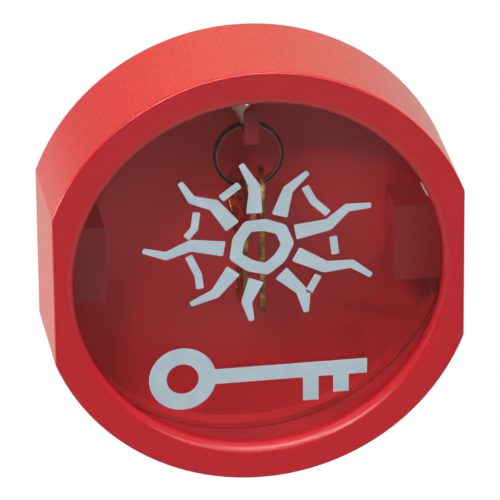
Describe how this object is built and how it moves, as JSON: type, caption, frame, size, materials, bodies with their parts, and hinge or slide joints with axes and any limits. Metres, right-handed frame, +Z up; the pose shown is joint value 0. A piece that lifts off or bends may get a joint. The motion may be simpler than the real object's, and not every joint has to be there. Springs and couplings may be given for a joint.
{
  "type": "break glass key box",
  "caption": "Round red wall box with flat sides that keeps spare keys on a hook behind a breakable glass disc.",
  "frame": {"origin": "centre of the wall face, where the back plate meets the wall", "axes": "+Y into the wall, +Z up, +X to the right of someone who faces the box; the glass faces -Y"},
  "size_m": [0.1172, 0.0366, 0.1254],
  "materials": {
    "red_plastic": "fine spark texture on the outer wall, satin on the front",
    "clear_glass": "clear float glass",
    "print_ink": "matt screen ink on the front of the glass",
    "clip_steel": "plated spring strip",
    "screw_steel": "zinc plated",
    "ring_steel": "nickel plated spring steel",
    "key_brass": "brass with machined cuts"
  },
  "bodies": {
    "base": {"back_plate": "red_plastic", "cover_screws": "screw_steel"},
    "cover": {"cover_shell": "red_plastic", "glass_pane": "clear_glass", "glass_clip_upper_right": "clip_steel", "glass_clip_upper_left": "clip_steel", "glass_clip_lower_left": "clip_steel", "glass_clip_lower_right": "clip_steel", "clip_screws": "screw_steel"},
    "ring": {"split_ring": "ring_steel"},
    "key_1": {"key_1": "key_brass"},
    "key_2": {"key_2": "key_brass"}
  },
  "joints": [
    {"name": "cover_off", "type": "slide", "parent": "base", "child": "cover", "axis": [0, -1, 0], "range_m": [0, 0.045]},
    {"name": "ring_swing", "type": "hinge", "parent": "base", "child": "ring", "pos_m": [0, -0.0156, 0.0344], "axis": [0, 1, 0], "range_deg": [-25, 25]},
    {"name": "key_1_swing", "type": "hinge", "parent": "ring", "child": "key_1", "pos_m": [-0.0022, -0.0156, 0.02036], "axis": [1, 0, 0], "range_deg": [-15, 12]},
    {"name": "key_2_swing", "type": "hinge", "parent": "ring", "child": "key_2", "pos_m": [0.0036, -0.0156, 0.02081], "axis": [1, 0, 0], "range_deg": [-15, 12]}
  ]
}
